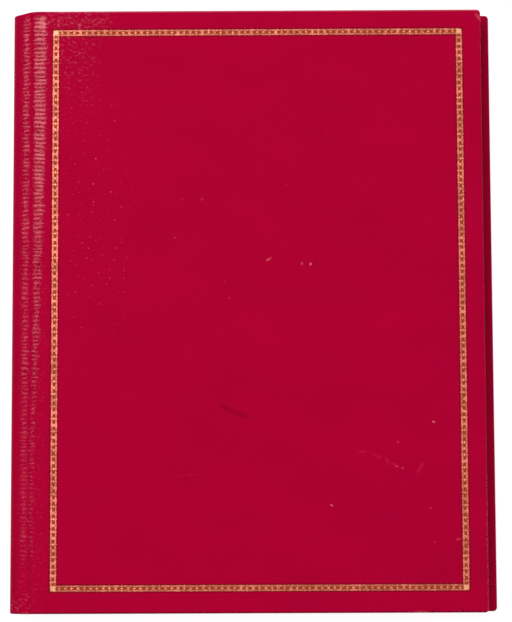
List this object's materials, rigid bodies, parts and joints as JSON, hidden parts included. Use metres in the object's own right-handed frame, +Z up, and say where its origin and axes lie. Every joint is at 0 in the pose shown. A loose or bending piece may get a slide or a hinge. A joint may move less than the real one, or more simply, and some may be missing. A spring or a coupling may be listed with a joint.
{
  "type": "writing case",
  "caption": "Slim folding writing case with stiff leather covers, a soft spine, a gilt-tooled border, paper and stamp pockets, a pen loop and a writing pad in a sleeve.",
  "frame": {"origin": "middle of the footprint of the closed case, on the surface that it lies on", "axes": "+X from the spine to the fore edge, +Y from foot to head, +Z up through the closed thickness, front cover uppermost"},
  "size_m": [0.2496, 0.312, 0.0173],
  "materials": {
    "cover_leather": "satin, straight-grained, worn along the spine",
    "gutter_leather": "satin",
    "pocket_leather": "satin, fine-grained",
    "lining": "watered silk",
    "board": "matt",
    "gilt": "gold leaf, tooled",
    "paper": "laid writing paper",
    "binding_tape": "book cloth"
  },
  "bodies": {
    "back_cover": {"back_leather": "cover_leather", "back_board": "board", "back_lining": "lining", "back_gutter": "gutter_leather", "sleeve_gusset": "gutter_leather", "pad_sleeve": "pocket_leather"},
    "back_joint": {"back_joint_leather": "cover_leather", "back_joint_gutter": "gutter_leather"},
    "spine": {"spine_leather": "cover_leather", "spine_gutter": "gutter_leather", "pen_loop": "gutter_leather"},
    "front_joint": {"front_joint_leather": "cover_leather", "front_joint_gutter": "gutter_leather"},
    "front_cover": {"front_leather": "cover_leather", "front_board": "board", "front_lining": "lining", "front_gutter": "gutter_leather", "gilt_border": "gilt", "letter_gusset": "gutter_leather", "letter_pocket": "pocket_leather", "envelope_gusset": "gutter_leather", "envelope_pocket": "pocket_leather", "stamp_gusset": "gutter_leather", "stamp_pocket": "pocket_leather"},
    "writing_pad": {"pad_card": "board", "pad_paper": "paper", "pad_binding": "binding_tape"}
  },
  "joints": [
    {"name": "back_groove_bend", "type": "hinge", "parent": "back_cover", "child": "back_joint", "pos_m": [-0.11435, 0, 0], "axis": [0, -1, 0], "range_deg": [0, 20]},
    {"name": "back_shoulder_bend", "type": "hinge", "parent": "back_joint", "child": "spine", "pos_m": [-0.12475, 0, 0.00379], "axis": [0, -1, 0], "range_deg": [0, 70]},
    {"name": "front_shoulder_bend", "type": "hinge", "parent": "spine", "child": "front_joint", "pos_m": [-0.12475, 0, 0.01341], "axis": [0, -1, 0], "range_deg": [0, 70]},
    {"name": "front_groove_bend", "type": "hinge", "parent": "front_joint", "child": "front_cover", "pos_m": [-0.11435, 0, 0.0172], "axis": [0, -1, 0], "range_deg": [0, 20]},
    {"name": "pad_slide", "type": "slide", "parent": "back_cover", "child": "writing_pad", "axis": [0, 1, 0], "range_m": [0, 0.2]}
  ]
}
